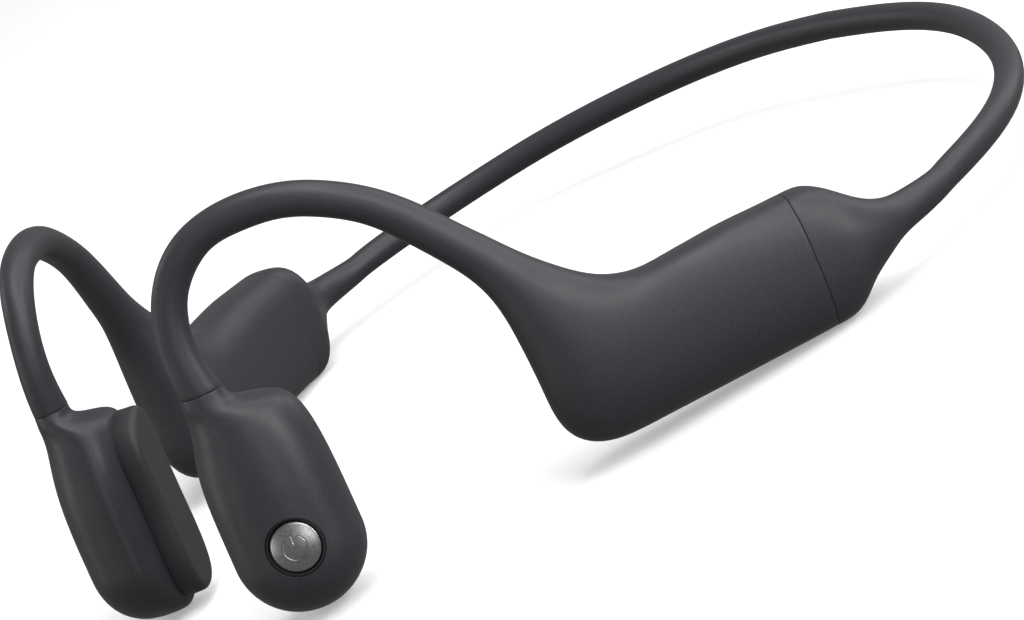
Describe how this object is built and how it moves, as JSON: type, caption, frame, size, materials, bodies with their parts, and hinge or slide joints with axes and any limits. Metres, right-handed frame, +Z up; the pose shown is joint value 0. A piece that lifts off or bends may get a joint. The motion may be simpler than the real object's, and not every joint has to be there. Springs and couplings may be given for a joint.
{
  "type": "bone conduction headphones",
  "caption": "Open-ear bone conduction headphones with ear hooks, two transducer pods, rear housings and a thin flexible neckband.",
  "frame": {"origin": "centre of the bounding box at the surface the headphones stand on", "axes": "+X to the wearer's left, -Y to the front, +Z up; at rest the headphones stand on both pods and the rear ends of both housings"},
  "size_m": [0.1376, 0.1266, 0.0489],
  "materials": {
    "charcoal_silicone": "soft-touch silicone, matte",
    "charcoal_shell": "soft-touch lacquer, satin",
    "charcoal_face": "matte soft face",
    "silver_button": "satin, spun",
    "black_seal": "matte",
    "black_plastic": "matte",
    "steel": "stamped",
    "titanium": "drawn wire",
    "nickel_magnet": "nickel plated",
    "copper_winding": "enamelled wire",
    "gold_contact": "gold plated",
    "circuit_board": "solder mask",
    "battery_pouch": "foil",
    "cable_jacket": "matte",
    "inner_frame": "moulded",
    "light_diffuser": "frosted"
  },
  "bodies": {
    "right_side": {"right_transducer_shell": "charcoal_shell", "right_face_cap": "charcoal_face", "right_transducer_yoke": "steel", "right_transducer_magnet": "nickel_magnet", "right_voice_coil": "copper_winding", "right_suspension_spring": "steel", "right_vibration_pad": "inner_frame", "right_microphone": "steel", "right_hook_and_housing_cover": "charcoal_silicone", "right_hook_wire": "titanium", "right_hook_cable": "cable_jacket", "right_housing_frame": "inner_frame", "right_wire_anchor": "inner_frame", "neckband_cover": "charcoal_silicone", "neckband_wire": "titanium", "neckband_cable": "cable_jacket", "main_board": "circuit_board", "bluetooth_shield_can": "steel", "volume_up_tact_switch": "steel", "volume_down_tact_switch": "steel", "status_light_pipe": "light_diffuser", "charging_pad": "black_plastic", "charging_pin_front": "gold_contact", "charging_pin_rear": "gold_contact"},
    "left_side": {"left_transducer_shell": "charcoal_shell", "left_face_cap": "charcoal_face", "left_transducer_yoke": "steel", "left_transducer_magnet": "nickel_magnet", "left_voice_coil": "copper_winding", "left_suspension_spring": "steel", "left_vibration_pad": "inner_frame", "left_microphone": "steel", "left_hook_and_housing_cover": "charcoal_silicone", "left_hook_wire": "titanium", "left_hook_cable": "cable_jacket", "left_housing_frame": "inner_frame", "left_wire_anchor": "inner_frame", "button_seal_ring": "black_seal", "button_tact_switch": "steel", "button_board": "circuit_board", "battery_cell": "battery_pouch", "battery_protection_board": "circuit_board"},
    "multifunction_key": {"multifunction_button": "silver_button"},
    "volume_up_key": {"volume_up_button": "charcoal_silicone"},
    "volume_down_key": {"volume_down_button": "charcoal_silicone"}
  },
  "joints": [
    {"name": "neckband_flex", "type": "hinge", "parent": "right_side", "child": "left_side", "pos_m": [0, 0.06142, 0.01013], "axis": [0, -0.048, 0.9988], "range_deg": [0, 25], "stiffness_Nm_per_rad": 0.2, "deforming": ["neckband_cover", "neckband_wire", "neckband_cable"]},
    {"name": "multifunction_press", "type": "slide", "parent": "left_side", "child": "multifunction_key", "axis": [-0.749, 0.654, -0.1065], "range_m": [0, 0.00035], "stiffness_N_per_m": 3000, "springref_m": -0.0001},
    {"name": "volume_up_press", "type": "slide", "parent": "right_side", "child": "volume_up_key", "axis": [0, 0.1607, 0.987], "range_m": [0, 0.0003], "stiffness_N_per_m": 3000, "springref_m": -0.0001},
    {"name": "volume_down_press", "type": "slide", "parent": "right_side", "child": "volume_down_key", "axis": [0, 0.1607, 0.987], "range_m": [0, 0.0003], "stiffness_N_per_m": 3000, "springref_m": -0.0001}
  ]
}
